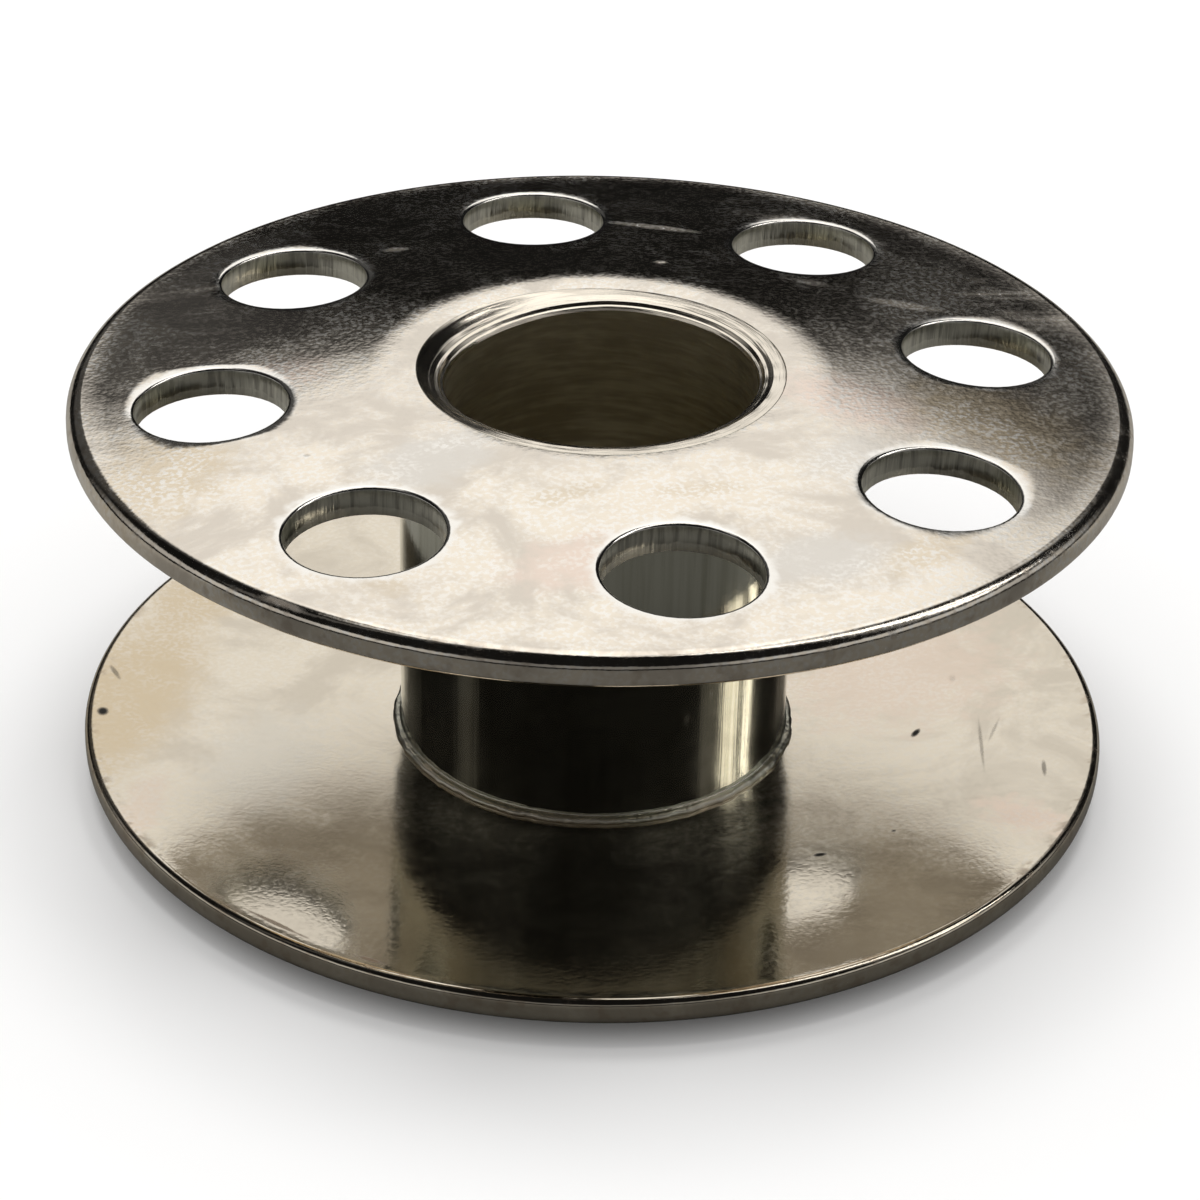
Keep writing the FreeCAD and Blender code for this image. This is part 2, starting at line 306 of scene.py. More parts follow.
def discMaterial(name, finish):
    p = plateWear
    material, tree, shader = newMaterial(name)
    spot = millimetres(tree)
    peel = useGroup(tree, platePeel, {"Vector": spot})
    wear = useGroup(tree, rimWear, {"Vector": spot, "Rag": peel["Rag"]})
    kinds = ("roseMarks", "coolMarks", "yellowMarks", "smears", "wipes", "specks", "rust")
    masks = {kind: markMask(tree, spot, peel["Rag"], finish[kind], finish["height"]) for kind in kinds}
    across = addNode(tree, "VectorMath", {0: spot, 1: finish["hazeWay"]}, operation="DOT_PRODUCT")
    haze = ramp(tree, across.outputs["Value"], finish["hazeFrom"], finish["hazeTo"])
    wipeWay = addNode(tree, "Mapping", {"Vector": spot, "Rotation": (0, 0, math.radians(finish["wipeTurn"])),
                                        "Scale": p["wipeStretch"]}).outputs[0]
    streaks = ramp(tree, cloudNoise(tree, wipeWay, 1.0, 2.0, 0.6), 0.42, 0.72)
    wipes = calc(tree, "MULTIPLY", streaks, masks["wipes"])
    # colour
    colour = blendColour(tree, peel["Cloud"], finish["dull"], finish["cream"])
    colour = blendColour(tree, masks["roseMarks"], colour, finish["rose"])
    colour = blendColour(tree, masks["coolMarks"], colour, finish["cool"])
    colour = blendColour(tree, masks["yellowMarks"], colour, finish["yellow"])
    # painted highlight: pale glints painted on the plate's own grain
    paintedGlints = calc(tree, "MULTIPLY", peel["Grain"], peel["Cloud"])
    colour = blendColour(tree, calc(tree, "MULTIPLY", paintedGlints, finish["paintedGlints"]), colour, finish["paintedHighlight"])
    # painted highlight: a pale glow painted round the punched holes
    if finish["paintedHoleGlow"]:
        holeGlowShare = calc(tree, "MULTIPLY", paintedHoleGlow(tree, spot, peel["Rag"]), finish["paintedHoleGlow"])
        colour = blendColour(tree, holeGlowShare, colour, finish["paintedHighlight"])
    colour = blendColour(tree, calc(tree, "MULTIPLY", wear["Grime"], p["rimGrime"]), colour, finish["grime"])
    colour = blendColour(tree, masks["rust"], colour, p["rustColour"])
    colour = blendColour(tree, masks["specks"], colour, p["speckColour"])
    tree.links.new(colour, shader.inputs["Base Color"])
    # gloss
    rough = calc(tree, "MULTIPLY_ADD", peel["Cloud"], finish["roughCloud"], finish["roughLow"])
    rough = calc(tree, "MULTIPLY_ADD", haze, finish["roughHaze"], rough)
    rough = calc(tree, "MULTIPLY_ADD", peel["Grain"], finish["roughGrain"], rough)
    rough = calc(tree, "MULTIPLY_ADD", masks["smears"], p["smearRough"], rough)
    rough = calc(tree, "MULTIPLY_ADD", wipes, p["wipeRough"], rough)
    rough = calc(tree, "MULTIPLY_ADD", wear["Grime"], p["rimGrimeRough"], rough)
    dirt = calc(tree, "MAXIMUM", masks["specks"], masks["rust"])
    rough = calc(tree, "MULTIPLY_ADD", dirt, p["dirtRough"], rough)
    tree.links.new(rough, shader.inputs["Roughness"])
    metallic = calc(tree, "MULTIPLY_ADD", dirt, p["dirtMetallic"], 1.0)
    tree.links.new(metallic, shader.inputs["Metallic"])
    # relief
    height = calc(tree, "MULTIPLY_ADD", wear["Knocks"], p["knockHeight"], peel["Height"])
    height = calc(tree, "MULTIPLY_ADD", masks["smears"], p["smearHeight"], height)
    addRelief(tree, shader, height, finish["peelDepth"])
    return material


# sheared hole wall: burnished above, torn below
wallFinish = {
    "burnished": (0.66, 0.65, 0.57, 1),
    "torn": (0.86, 0.85, 0.77, 1),
    "scored": (0.3, 0.29, 0.26, 1),
    "splitHeight": 0.2,
    "splitRag": 0.3,
    "scoreBurnished": 0.75,
    "scoreTorn": 0.25,
    "roughBurnished": 0.28,
    "roughTorn": 0.55,
    "toothStretch": (9, 9, 0.7),
    "toothDepth": 0.00003,
}


def wallMaterial(baseHeight, slope, landRadius):
    w = wallFinish
    material, tree, shader = newMetal("punchedWall")
    spot = millimetres(tree)
    axes = addNode(tree, "SeparateXYZ", {0: spot}).outputs
    outward = calc(tree, "SUBTRACT", axisDistance(tree, spot), landRadius)
    sheetFoot = calc(tree, "MULTIPLY_ADD", outward, -slope, baseHeight)
    up = calc(tree, "SUBTRACT", axes["Z"], sheetFoot)
    upright = addNode(tree, "Mapping", {"Vector": spot, "Scale": w["toothStretch"]}).outputs[0]
    teeth = cloudNoise(tree, upright, 1.0, 3.0, 0.6)
    wander = cloudNoise(tree, spot, 1.6, 3.0, 0.6)
    edge = calc(tree, "MULTIPLY_ADD", wander, w["splitRag"], w["splitHeight"] - w["splitRag"] / 2)
    torn = ramp(tree, calc(tree, "SUBTRACT", edge, up), -0.02, 0.03)
    colour = blendColour(tree, torn, w["burnished"], w["torn"])
    scoring = ramp(tree, torn, 0, 1, w["scoreBurnished"], w["scoreTorn"])
    scores = calc(tree, "MULTIPLY", ramp(tree, teeth, 0.42, 0.66), scoring)
    colour = blendColour(tree, scores, colour, w["scored"])
    tree.links.new(colour, shader.inputs["Base Color"])
    tree.links.new(ramp(tree, torn, 0, 1, w["roughBurnished"], w["roughTorn"]), shader.inputs["Roughness"])
    addRelief(tree, shader, teeth, w["toothDepth"])
    return material


hubFinish = {
    "plain": (0.655, 0.657, 0.57, 1),
    "line": (0.495, 0.495, 0.41, 1),
    "drawDepth": 0.000003,
    "rough": 0.065,
    "boreColour": (0.77, 0.72, 0.56, 1),
    "boreStain": (0.53, 0.47, 0.34, 1),
    "boreRough": 0.45,
    "boreLineDepth": 0.00001,
    "footColour": (0.74, 0.69, 0.6, 1),
    "footRough": 0.42,
    "footDepth": 0.00003,
    "lipColour": (0.89, 0.82, 0.71, 1),
    "lipStain": (0.68, 0.62, 0.53, 1),
    "lipRough": 0.13,
    "lipLineDepth": 0.000008,
}


def hubMaterial():
    h = hubFinish
    material, tree, shader = newMetal("drawnHub")
    spot = millimetres(tree)
    upright = addNode(tree, "Mapping", {"Vector": spot, "Scale": (4.5, 4.5, 0.12)}).outputs[0]
    lines = cloudNoise(tree, upright, 1.0, 3.0, 0.65)
    peel = useGroup(tree, platePeel, {"Vector": spot})
    colour = blendColour(tree, ramp(tree, lines, 0.4, 0.7), h["plain"], h["line"])
    tree.links.new(colour, shader.inputs["Base Color"])
    rough = calc(tree, "MULTIPLY_ADD", lines, 0.08, h["rough"] - 0.04)
    rough = calc(tree, "MULTIPLY_ADD", peel["Cloud"], 0.05, rough)
    tree.links.new(rough, shader.inputs["Roughness"])
    height = calc(tree, "MULTIPLY_ADD", peel["Height"], 0.35, calc(tree, "MULTIPLY", lines, 1.6))
    addRelief(tree, shader, height, h["drawDepth"])
    return material


# lines that run round the axis, broken along their length
def turnedLines(tree, spot, fineness, breaks):
    axes = addNode(tree, "SeparateXYZ", {0: spot}).outputs
    around = calc(tree, "MULTIPLY", calc(tree, "ARCTAN2", axes["Y"], axes["X"]), breaks / fineness)
    track = addNode(tree, "CombineXYZ", {0: axisDistance(tree, spot), 1: axes["Z"], 2: around}).outputs[0]
    return cloudNoise(tree, track, fineness, 2.0, 0.6)


def boreMaterial():
    h = hubFinish
    material, tree, shader = newMetal("boreWall")
    spot = millimetres(tree)
    rings = turnedLines(tree, spot, 5.0, 2.5)
    clouds = cloudNoise(tree, spot, 0.5, 3.0, 0.6)
    patches = calc(tree, "MULTIPLY_ADD", rings, 0.6, calc(tree, "MULTIPLY", clouds, 0.4))
    colour = blendColour(tree, ramp(tree, patches, 0.38, 0.62), h["boreColour"], h["boreStain"])
    tree.links.new(colour, shader.inputs["Base Color"])
    tree.links.new(calc(tree, "MULTIPLY_ADD", rings, 0.3, h["boreRough"] - 0.15), shader.inputs["Roughness"])
    addRelief(tree, shader, rings, h["boreLineDepth"])
    return material


def footRingMaterial():
    h = hubFinish
    material, tree, shader = newMetal("footRing")
    spot = millimetres(tree)
    peel = useGroup(tree, platePeel, {"Vector": spot})
    colour = blendColour(tree, peel["Cloud"], h["footColour"], h["plain"])
    tree.links.new(colour, shader.inputs["Base Color"])
    rough = calc(tree, "MULTIPLY_ADD", peel["Cloud"], -0.12, h["footRough"])
    tree.links.new(rough, shader.inputs["Roughness"])
    height = calc(tree, "MULTIPLY_ADD", peel["Rag"], 2.0, peel["Height"])
    addRelief(tree, shader, height, h["footDepth"])
    return material


def lipMaterial():
    h = hubFinish
    material, tree, shader = newMetal("swagedLip")
    spot = millimetres(tree)
    rings = turnedLines(tree, spot, 13.0, 3.0)
    peel = useGroup(tree, platePeel, {"Vector": spot})
    colour = blendColour(tree, ramp(tree, rings, 0.5, 0.75), h["lipColour"], h["lipStain"])
    tree.links.new(colour, shader.inputs["Base Color"])
    tree.links.new(calc(tree, "MULTIPLY_ADD", peel["Cloud"], 0.08, h["lipRough"]), shader.inputs["Roughness"])
    addRelief(tree, shader, rings, h["lipLineDepth"])
    return material


# outline corners are (radius, height, rounding), all in millimetres
def roundCorners(bm, corners, segments):
    verts = [bm.verts.new((r, 0, z)) for r, z, rounding in corners]
    bm.faces.new(verts)
    count = len(corners)
    for i, (r, z, rounding) in enumerate(corners):
        if not rounding:
            continue
        here = Vector((r, z))
        before = Vector(corners[i - 1][:2]) - here
        after = Vector(corners[(i + 1) % count][:2]) - here
        turn = math.pi - before.angle(after)
        bmesh.ops.bevel(bm, geom=[verts[i]], offset=rounding * math.tan(turn / 2), offset_type="OFFSET",
                        segments=segments, profile=0.5, affect="VERTICES", material=-1)


def turnOutline(bm, steps):
    bmesh.ops.delete(bm, geom=bm.faces[:], context="FACES_ONLY")
    bmesh.ops.spin(bm, geom=bm.verts[:] + bm.edges[:], cent=(0, 0, 0), axis=(0, 0, 1), dvec=(0, 0, 0),
                   angle=2 * math.pi, steps=steps, use_merge=True)
    bmesh.ops.remove_doubles(bm, verts=bm.verts[:], dist=1e-5)
    bmesh.ops.recalc_face_normals(bm, faces=bm.faces[:])


def finishPiece(bm, name, node, materials):
    bmesh.ops.scale(bm, vec=(toMetres,) * 3, verts=bm.verts[:])
    mesh = bpy.data.meshes.new(name)
    bm.to_mesh(mesh)
    bm.free()
    mesh.shade_smooth()
    for material in materials:
        mesh.materials.append(material)
    piece = bpy.data.objects.new(name, mesh)
    scene.collection.objects.link(piece)
    normals = piece.modifiers.new("faceWeights", "WEIGHTED_NORMAL")
    normals.weight = 80
    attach(piece, "root")
    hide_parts(node)
    return piece


# stamped disc, outer face up: its seat is at height 0
discShape = {
    "rimRadius": 10.5,
    "sheet": 0.6,
    "dishRise": 0.38,
    "landRadius": 4.35,
    "landBlend": 8.0,
    "eyeDrop": 0.003,
    "sinkRadius": 3.66,
    "sinkDepth": 0.3,
    "sinkRound": 0.005,
    "neckRadius": 3.45,
    "neckRound": 0.05,
    "rimRoll": 0.31,
    "rimBreak": 0.17,
    "crestWidth": 0.13,
    "crestRise": 0.011,
    "plainRings": [6.5, 8.5],
    "turnSteps": 192,
    "roundSteps": 7,
}


def coneHeight(radius):
    d = discShape
    share = (radius - d["landRadius"]) / (d["rimRadius"] - d["landRadius"])
    return -d["dishRise"] * max(0.0, share)


# each face rises to a faint crest before it rolls over at the rim
def discCorners(ringRadii):
    d = discShape
    rim = d["rimRadius"]
    sheet = d["sheet"]
    crest = d["crestRise"]
    under = [(r, coneHeight(r), 0) for r in ringRadii]
    over = [(r, coneHeight(r) + sheet, 0) for r in reversed(ringRadii)]
    underCrest = rim - d["rimBreak"]
    overCrest = rim - d["rimRoll"]
    return (
        [(d["neckRadius"], 0, d["neckRound"]), (d["landRadius"], 0, d["landBlend"])]
        + under
        + [(underCrest - d["crestWidth"], coneHeight(underCrest - d["crestWidth"]), 0),
           (underCrest, coneHeight(underCrest) - crest, 0),
           (rim, coneHeight(rim) - crest, d["rimBreak"]),
           (rim, coneHeight(rim) + sheet + crest, d["rimRoll"]),
           (overCrest, coneHeight(overCrest) + sheet + crest, 0),
           (overCrest - d["crestWidth"], coneHeight(overCrest - d["crestWidth"]) + sheet, 0)]
        + over
        + [(d["landRadius"], sheet, d["landBlend"]),
           (d["sinkRadius"], sheet - d["eyeDrop"], d["sinkRound"]),
           (d["neckRadius"], sheet - d["eyeDrop"] - d["sinkDepth"], 0)]
    )


# ring of punched holes: each is set into a window cut in the turned disc
holeShape = {
    "count": 8,
    "circleRadius": 7.7,
    "radius": 1.5,
    "windowInner": 5.7,
    "windowOuter": 9.7,
    "windowRings": 8,
    "windowHalfSteps": 8,
    "windowSlack": 0.01,
    "bridgeCuts": 3,
    "rollOver": [(0.09, 0), (0.055, 0.006), (0.025, 0.02), (0.006, 0.036), (0, 0.045)],
    "rollUnder": [(0.05, 0), (0.012, 0.02), (0, 0.03)],
}


def windowRadii():
    h = holeShape
    span = h["windowOuter"] - h["windowInner"]
    return [h["windowInner"] + span * i / h["windowRings"] for i in range(h["windowRings"] + 1)]


def inWindow(point, holeAngle):
    h = holeShape
    radius = point.xy.length
    away = math.degrees(math.atan2(point.y, point.x)) - holeAngle
    away = abs((away + 180) % 360 - 180)
    limit = h["windowHalfSteps"] * 360 / discShape["turnSteps"]
    slack = h["windowSlack"]
    return h["windowInner"] - slack < radius < h["windowOuter"] + slack and away < limit + slack


def setHole(bm, holeAngle, faceUp):
    h = holeShape
    lift = discShape["sheet"] if faceUp else 0
    covered = [f for f in bm.faces if (f.normal.z > 0.9 if faceUp else f.normal.z < -0.9)
               and inWindow(f.calc_center_median(), holeAngle)]
    bmesh.ops.delete(bm, geom=covered, context="FACES")
    frameEdges = [e for e in bm.edges if e.is_boundary and not e.tag
                  and inWindow(e.verts[0].co, holeAngle) and inWindow(e.verts[1].co, holeAngle)]
    place = Matrix.Rotation(math.radians(holeAngle), 4, "Z") @ Matrix.Translation((h["circleRadius"], 0, 0))
    sides = len(frameEdges)
    rings = []
    for wider, drop in h["rollOver"] if faceUp else h["rollUnder"]:
        ring = bmesh.ops.create_circle(bm, cap_ends=False, radius=h["radius"] + wider, segments=sides,
                                       matrix=place)["verts"]
        rings.append(list({e for v in ring for e in v.link_edges}))
        for v in ring:
            v.co.z = coneHeight(v.co.xy.length) + lift - (drop if faceUp else -drop)
    spokes = bmesh.ops.bridge_loops(bm, edges=frameEdges + rings[0])["edges"]
    filled = bmesh.ops.subdivide_edges(bm, edges=spokes, cuts=h["bridgeCuts"], use_grid_fill=True)
    for v in filled["geom_inner"]:
        if isinstance(v, bmesh.types.BMVert):
            v.co.z = coneHeight(v.co.xy.length) + lift
    for outer, inner in zip(rings, rings[1:]):
        bmesh.ops.bridge_loops(bm, edges=outer + inner)
    rim = [e for e in bm.edges if e.is_boundary and not e.tag and inWindow(e.verts[0].co, holeAngle)]
    for e in rim:
        e.tag = True
    return rim


def punchHoles(bm):
    h = holeShape
    for i in range(h["count"]):
        angle = 360 / h["count"] * i
        over = setHole(bm, angle, True)
        under = setHole(bm, angle, False)
        for wall in bmesh.ops.bridge_loops(bm, edges=over + under)["faces"]:
            wall.material_index = 1
    bmesh.ops.recalc_face_normals(bm, faces=bm.faces[:])
    print("holes punched:", h["count"], "open edges:", sum(e.is_boundary for e in bm.edges))


# hub: one end is drawn from its seat outwards, the other is its twin
hubShape = {
    "lowerSeat": 0.6,
    "seatSpacing": 7.46,
    "boreRadius": 3.1,
    "hubRadius": 4.0,
    "beadRadius": 4.15,
    "beadHeight": 0.11,
    "beadRound": 0.07,
    "beadFillet": 0.04,
    "seatRound": 0.02,
    "beadRag": 0.05,
    "beadRagMost": 0.35,
    "beadWaves": [(9, 3.0, 1.0), (31, 5.0, 0.6)],
    "neckRadius": 3.44,
    "sinkFloor": 0.288,
    "lipRadius": 3.652,
    "lipSeat": 0.58,
    "lipTop": 0.597,
    "lipRound": 0.005,
    "lipSteps": [(3.57, 0.597, 0), (3.48, 0.597, 0), (3.4, 0.597, 0.03), (3.3, 0.55, 0.02),
                 (3.225, 0.538, 0.02), (3.185, 0.47, 0.02), (3.13, 0.455, 0.015), (3.1, 0.38, 0.02)],
    "lipLean": 0.24,
    "lipLeanWidth": 0.24,
    "lipLeanTurn": 150,
    "lipFoot": 0.25,
    "lipSeam": 0.02,
    "lipWander": 0.012,
    "lipWanderScale": 1.7,
    "turnSteps": 192,
    "roundSteps": 7,
}


def hubCorners():
    s = hubShape
    upper = [
        (s["hubRadius"], -s["beadHeight"], s["beadFillet"]),
        (s["beadRadius"], -s["beadHeight"], s["beadRound"]),
        (s["beadRadius"], 0, s["seatRound"]),
        (s["neckRadius"], 0, 0),
        (s["neckRadius"], s["sinkFloor"], 0),
        (s["lipRadius"], s["lipSeat"], 0),
        (s["lipRadius"], s["lipTop"], s["lipRound"]),
    ] + s["lipSteps"]
    top = s["lowerSeat"] + s["seatSpacing"]
    return ([(r, top + z, rounding) for r, z, rounding in upper]
            + [(r, s["lowerSeat"] - z, rounding) for r, z, rounding in reversed(upper)])


# the bead is squeezed-out metal, so its edge wanders: waves are (round the ring, along the axis, share)
def ragBead(bm):
    s = hubShape
    for v in bm.verts:
        out = v.co.xy.length
        if out < s["hubRadius"] + 0.06:
            continue
        way = v.co.xy / out
        wander = 0
        for around, along, share in s["beadWaves"]:
            wander += share * noise.noise(Vector((way.x * around, way.y * around, round(v.co.z) * along)))
        reach = (out - s["hubRadius"]) / (s["beadRadius"] - s["hubRadius"])
        step = way * (min(wander, s["beadRagMost"]) * s["beadRag"] * reach)
        v.co.x += step.x
        v.co.y += step.y


def hubMiddle():
    return hubShape["lowerSeat"] + hubShape["seatSpacing"] / 2


# height of a spot above the seat at its own end of the hub
def aboveSeat(z):
    return abs(z - hubMiddle()) - hubShape["seatSpacing"] / 2


# the lip leans in further on one side: it falls steeply from the seam there, then levels out
def leanLip(bm):
    s = hubShape
    for v in bm.verts:
        out = v.co.xy.length
        if aboveSeat(v.co.z) < s["lipFoot"] or out > s["lipRadius"] - s["lipSeam"]:
            continue
        inward = min(1, (s["lipRadius"] - out) / s["lipLeanWidth"])
        turn = math.atan2(v.co.y, v.co.x) - math.radians(s["lipLeanTurn"])
        lean = s["lipLean"] * max(0, math.cos(turn)) ** 2
        lean += s["lipWander"] * noise.noise(v.co * s["lipWanderScale"])
        v.co.z -= math.copysign(lean * inward, v.co.z - hubMiddle())


def buildHub():
    s = hubShape
    bm = bmesh.new()
    roundCorners(bm, hubCorners(), s["roundSteps"])
    turnOutline(bm, s["turnSteps"])
    ragBead(bm)
    leanLip(bm)
    for f in bm.faces:
        middle = f.calc_center_median()
        if middle.xy.length < s["boreRadius"] + 0.004:
            f.material_index = 1
        elif aboveSeat(middle.z) > 0.2 and middle.xy.length < s["lipRadius"] - s["lipSeam"]:
            f.material_index = 2
        elif middle.xy.length > s["hubRadius"] + 0.005:
            f.material_index = 3
    materials = [hubMaterial(), boreMaterial(), lipMaterial(), footRingMaterial()]
    return finishPiece(bm, "hub", "hub_tube", materials)


def buildUpperDisc():
    d = discShape
    bm = bmesh.new()
    roundCorners(bm, discCorners(windowRadii()), d["roundSteps"])
    turnOutline(bm, d["turnSteps"])
    punchHoles(bm)
    seat = hubShape["lowerSeat"] + hubShape["seatSpacing"]
    bmesh.ops.translate(bm, vec=(0, 0, seat), verts=bm.verts[:])
    slope = d["dishRise"] / (d["rimRadius"] - d["landRadius"])
    materials = [discMaterial("upperPlate", upperFinish), wallMaterial(seat, slope, d["landRadius"])]
    return finishPiece(bm, "upperDisc", "upper_flange", materials)


def buildLowerDisc():
    bm = bmesh.new()
    roundCorners(bm, discCorners(discShape["plainRings"]), discShape["roundSteps"])
    turnOutline(bm, discShape["turnSteps"])
    bmesh.ops.scale(bm, vec=(1, 1, -1), verts=bm.verts[:])
    bmesh.ops.translate(bm, vec=(0, 0, hubShape["lowerSeat"]), verts=bm.verts[:])
    bmesh.ops.recalc_face_normals(bm, faces=bm.faces[:])
    materials = [discMaterial("lowerPlate", lowerFinish)]
    return finishPiece(bm, "lowerDisc", "lower_flange", materials)


hub = buildHub()
upperDisc = buildUpperDisc()
lowerDisc = buildLowerDisc()
print("pieces built:", [(p.name, len(p.data.polygons)) for p in (hub, upperDisc, lowerDisc)])


# camera: azimuth is from +X, the look point is moved off the axis by the two shifts
cameraSetup = {
    "azimuth": -101.615,
    "elevation": 29.697,
    "distance": 71.84,
    "targetHeight": 4.265,
    "lookRight": 0.0877,
    "lookUp": -0.7873,
    "roll": 1.44,
    "lens": 105.868,
    "sensor": 36,
}


def buildCamera():
    c = cameraSetup
    azimuth = math.radians(c["azimuth"])
    elevation = math.radians(c["elevation"])
    away = Vector((math.cos(azimuth) * math.cos(elevation), math.sin(azimuth) * math.cos(elevation),
                   math.sin(elevation)))
    target = Vector((0, 0, c["targetHeight"]))
    place = target + away * c["distance"]
    right = Vector((0, 0, 1)).cross(away).normalized()
    up = away.cross(right)
    aim = (target + right * c["lookRight"] + up * c["lookUp"] - place).normalized()
    data = bpy.data.cameras.new("photoCamera")
    data.lens = c["lens"]
    data.sensor_width = c["sensor"]
    data.clip_start = 0.002
    data.clip_end = 20
    camera = bpy.data.objects.new("photoCamera", data)
    scene.collection.objects.link(camera)
    turn = aim.to_track_quat("-Z", "Y").to_matrix().to_4x4()
    roll = Matrix.Rotation(math.radians(c["roll"]), 4, "Z")
    camera.matrix_world = Matrix.Translation(place * toMetres) @ turn @ roll
    scene.camera = camera


# stage: a pale floor, and a dark mat and tent that only the metal sees
stageSetup = {
    "floorSize": 3.0,
    "floorDrop": 0.00008,
    "floorColour": (0.93, 0.925, 0.92, 1),
    "floorFadeFrom": 30.0,
    "floorFadeTo": 90.0,
    "matFront": (0.11, 0.107, 0.099, 1),
    "matBack": (0.3, 0.29, 0.268, 1),
    "matTurn": (-12, 12),
    "matRadius": 0.5,
    "matDrop": 0.00004,
    "worldLevel": 0.78,
}

# tent: levels by azimuth, clockwise from the back, and by elevation, in degrees
tentSetup = {
    "radius": 0.55,
    "colour": (1, 0.985, 0.96, 1),
    "backTurn": 11.615,
    "roomTone": 0.008,
    "leftGlow": 0.06,
    "glowStart": (-60, -40),
    "glowEnd": (-12, -6),
    "glowRise": (14, 19),
    "sideFill": 0.5,
    "fillRise": (5, 10),
    "fillFall": (21, 26),
    "fillStart": (50, 85),
    "fillFront": (135, 165),
    "fillFrontShare": 0.35,
    "windowLow": 23.8,
    "windowRise": 0.19,
    "windowRiseRight": -0.051,
    "windowArch": 0.0219,
    "windowArchRight": 0.0117,
    "windowCap": 40.0,
    "windowSoft": 1.1,
    "windowSoftSide": 0.16,
    "windowSoftRight": 0.06,
    "windowHalfWidth": 34.0,
    "windowSideSoft": 10.0,
    "windowLevel": 1.0,
    "windowTopLevel": 1.28,
    "windowTopRise": (38, 60),
    "overheadRise": (60, 75),
    "overheadBack": (0.0, 0.2),
    "stripRise": (30.5, 34.5),
    # strips are (from, to, edge softness, level)
    "strips": [(83, 96, 1.2, 2.2), (96, 112, 4.0, 0.14), (72.5, 77, 0.7, 4.2), (65, 68, 0.7, 0.12),
               (-106, -91, 4.0, 0.08)],
}

lampSetup = {
    "place": (0.02, 0.08, 0.45),
    "size": 0.3,
    "energy": 0.9,
}


def plainObject(name, bm, material):
    mesh = bpy.data.meshes.new(name)
    bm.to_mesh(mesh)
    bm.free()
    mesh.materials.append(material)
    thing = bpy.data.objects.new(name, mesh)
    scene.collection.objects.link(thing)
    return thing


def seenBy(thing, camera, diffuse, glossy, shadow):
    thing.visible_camera = camera
    thing.visible_diffuse = diffuse
    thing.visible_glossy = glossy
    thing.visible_shadow = shadow
    thing.visible_transmission = False
    thing.visible_volume_scatter = False


# rays that see the background as plain white
def backgroundRays(tree):
    path = addNode(tree, "LightPath").outputs
    mirrored = calc(tree, "MAXIMUM", path["Is Glossy Ray"], path["Is Transmission Ray"])
    return calc(tree, "MAXIMUM", path["Is Camera Ray"], mirrored)


def newPaper(name):
    material, tree, shader = newMaterial(name)
    shader.inputs["Roughness"].default_value = 0.9
    shader.inputs["Specular IOR Level"].default_value = 0
    return material, tree, shader


# far from the bobbin the floor turns into the white background
def floorMaterial():
    s = stageSetup
    material, tree, shader = newPaper("floorPaper")
    material.cycles.emission_sampling = "NONE"
    shader.inputs["Base Color"].default_value = s["floorColour"]
    shader.inputs["Emission Color"].default_value = (1, 1, 1, 1)
    away = addNode(tree, "VectorMath", {0: millimetres(tree)}, operation="LENGTH").outputs["Value"]
    far = ramp(tree, away, s["floorFadeFrom"], s["floorFadeTo"])
    tree.links.new(calc(tree, "MULTIPLY", far, backgroundRays(tree)), shader.inputs["Emission Strength"])
    return material


# the mat is darker in front of the bobbin than behind it
def matMaterial():
    s = stageSetup
    material, tree, shader = newPaper("matPaper")
    depth = addNode(tree, "SeparateXYZ", {0: millimetres(tree)}).outputs["Y"]
    colour = blendColour(tree, ramp(tree, depth, *s["matTurn"]), s["matFront"], s["matBack"])
    tree.links.new(colour, shader.inputs["Base Color"])
    return material


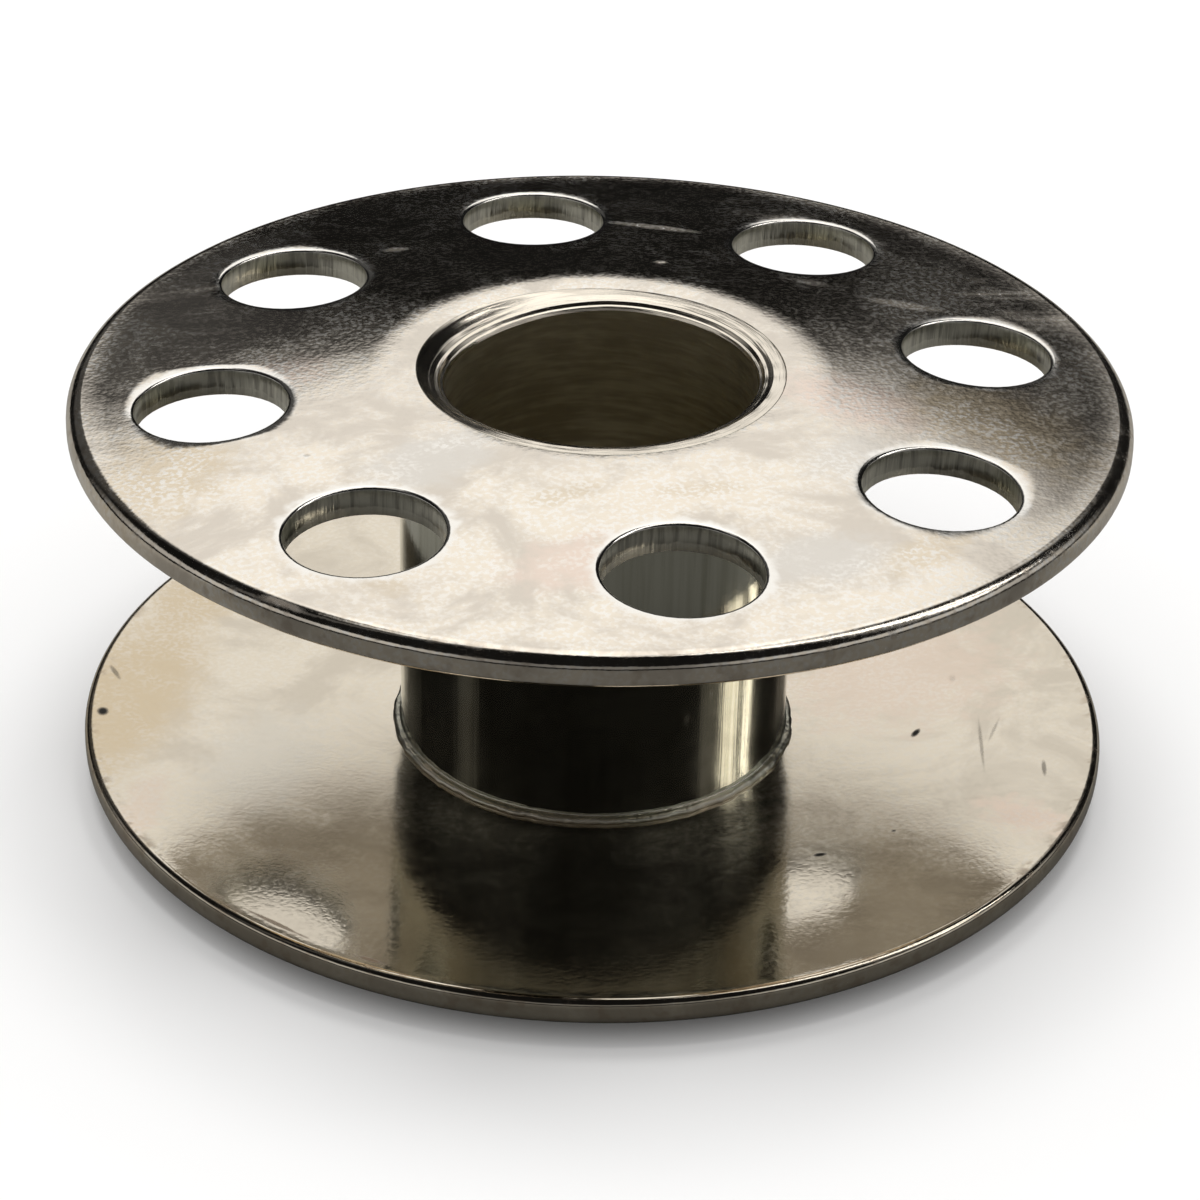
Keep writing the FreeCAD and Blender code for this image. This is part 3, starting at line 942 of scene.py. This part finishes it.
def tentMaterial():
    s = tentSetup
    material, tree, shader = newMaterial("tentCloth")
    material.cycles.emission_sampling = "NONE"
    tree.nodes.remove(shader)
    place = addNode(tree, "TexCoord").outputs["Object"]
    turned = addNode(tree, "Mapping", {"Vector": place, "Rotation": (0, 0, math.radians(s["backTurn"]))})
    ray = addNode(tree, "VectorMath", {0: turned.outputs[0]}, operation="NORMALIZE")
    axes = addNode(tree, "SeparateXYZ", {0: ray.outputs[0]}).outputs
    toDegrees = 180 / math.pi
    elevation = calc(tree, "MULTIPLY", calc(tree, "ARCSINE", axes["Z"]), toDegrees)
    azimuth = calc(tree, "MULTIPLY", calc(tree, "ARCTAN2", axes["X"], axes["Y"]), toDegrees)
    aside = calc(tree, "ABSOLUTE", azimuth)
    # the lower edge of the window arches up to both sides, further and softer on the right
    bend = calc(tree, "MULTIPLY_ADD", azimuth, s["windowArchRight"], s["windowRise"])
    bend = calc(tree, "MULTIPLY_ADD", aside, s["windowArch"], bend)
    arch = calc(tree, "MULTIPLY_ADD", azimuth, s["windowRiseRight"], s["windowLow"])
    arch = calc(tree, "MULTIPLY_ADD", aside, bend, arch)
    clear = calc(tree, "SUBTRACT", elevation, calc(tree, "MINIMUM", arch, s["windowCap"]))
    softness = calc(tree, "MULTIPLY_ADD", azimuth, s["windowSoftRight"], s["windowSoft"])
    softness = calc(tree, "MULTIPLY_ADD", aside, s["windowSoftSide"], softness)
    above = ramp(tree, calc(tree, "DIVIDE", clear, softness), -1, 1)
    within = ramp(tree, aside, s["windowHalfWidth"] - s["windowSideSoft"],
                  s["windowHalfWidth"] + s["windowSideSoft"], 1.0, 0.0)
    overhead = calc(tree, "MULTIPLY", ramp(tree, elevation, *s["overheadRise"]),
                    ramp(tree, axes["Y"], *s["overheadBack"]))
    window = calc(tree, "MULTIPLY", above, calc(tree, "MAXIMUM", within, overhead))
    brightness = ramp(tree, elevation, *s["windowTopRise"], s["windowLevel"], s["windowTopLevel"])
    level = calc(tree, "MULTIPLY", window, brightness)
    # a faint glow to the left of the window
    glowLeft = calc(tree, "MULTIPLY", ramp(tree, azimuth, *s["glowStart"]),
                    ramp(tree, azimuth, *s["glowEnd"], s["leftGlow"], 0.0))
    glowLeft = calc(tree, "MULTIPLY", glowLeft, ramp(tree, elevation, *s["glowRise"]))
    level = calc(tree, "MAXIMUM", level, glowLeft)
    # a low band of light on the other sides of the room, weaker in front
    band = calc(tree, "MULTIPLY", ramp(tree, elevation, *s["fillRise"]),
                ramp(tree, elevation, *s["fillFall"], s["sideFill"], 0.0))
    sides = calc(tree, "MULTIPLY", ramp(tree, aside, *s["fillStart"]),
                 ramp(tree, aside, *s["fillFront"], 1.0, s["fillFrontShare"]))
    level = calc(tree, "MAXIMUM", level, calc(tree, "MULTIPLY", band, sides))
    # upright strips that light the hub
    raised = ramp(tree, elevation, *s["stripRise"])
    for low, high, soft, strength in s["strips"]:
        strip = calc(tree, "MULTIPLY", ramp(tree, azimuth, low - soft, low + soft),
                     ramp(tree, azimuth, high - soft, high + soft, strength, 0.0))
        level = calc(tree, "MAXIMUM", level, calc(tree, "MULTIPLY", strip, raised))
    level = calc(tree, "MAXIMUM", level, s["roomTone"])
    glow = addNode(tree, "Emission", {"Color": s["colour"], "Strength": level})
    tree.links.new(glow.outputs[0], tree.nodes["Material Output"].inputs["Surface"])
    return material


def buildStage():
    s = stageSetup
    bm = bmesh.new()
    bmesh.ops.create_grid(bm, x_segments=1, y_segments=1, size=s["floorSize"])
    bmesh.ops.translate(bm, vec=(0, 0, -s["floorDrop"]), verts=bm.verts[:])
    seenBy(plainObject("floor", bm, floorMaterial()), True, True, False, True)
    bm = bmesh.new()
    bmesh.ops.create_circle(bm, cap_ends=True, radius=s["matRadius"], segments=64)
    bmesh.ops.translate(bm, vec=(0, 0, -s["matDrop"]), verts=bm.verts[:])
    seenBy(plainObject("darkMat", bm, matMaterial()), False, False, True, False)
    bm = bmesh.new()
    bmesh.ops.create_uvsphere(bm, u_segments=64, v_segments=32, radius=tentSetup["radius"])
    seenBy(plainObject("tent", bm, tentMaterial()), False, False, True, False)


def buildWorld():
    world = bpy.data.worlds.new("studio")
    scene.world = world
    world.use_nodes = True
    world.cycles.sampling_method = "NONE"
    tree = world.node_tree
    background = tree.nodes["Background"]
    background.inputs["Color"].default_value = (1, 1, 1, 1)
    level = ramp(tree, backgroundRays(tree), 0, 1, stageSetup["worldLevel"], 1.0)
    tree.links.new(level, background.inputs["Strength"])


def buildLamp():
    data = bpy.data.lights.new("overheadLamp", "AREA")
    data.shape = "DISK"
    data.size = lampSetup["size"]
    data.energy = lampSetup["energy"]
    lamp = bpy.data.objects.new("overheadLamp", data)
    scene.collection.objects.link(lamp)
    lamp.location = lampSetup["place"]
    lamp.rotation_euler = (-lamp.location).to_track_quat("-Z", "Y").to_euler()
    lamp.visible_glossy = False


buildCamera()
buildStage()
buildWorld()
buildLamp()
print("stage, light and camera set")
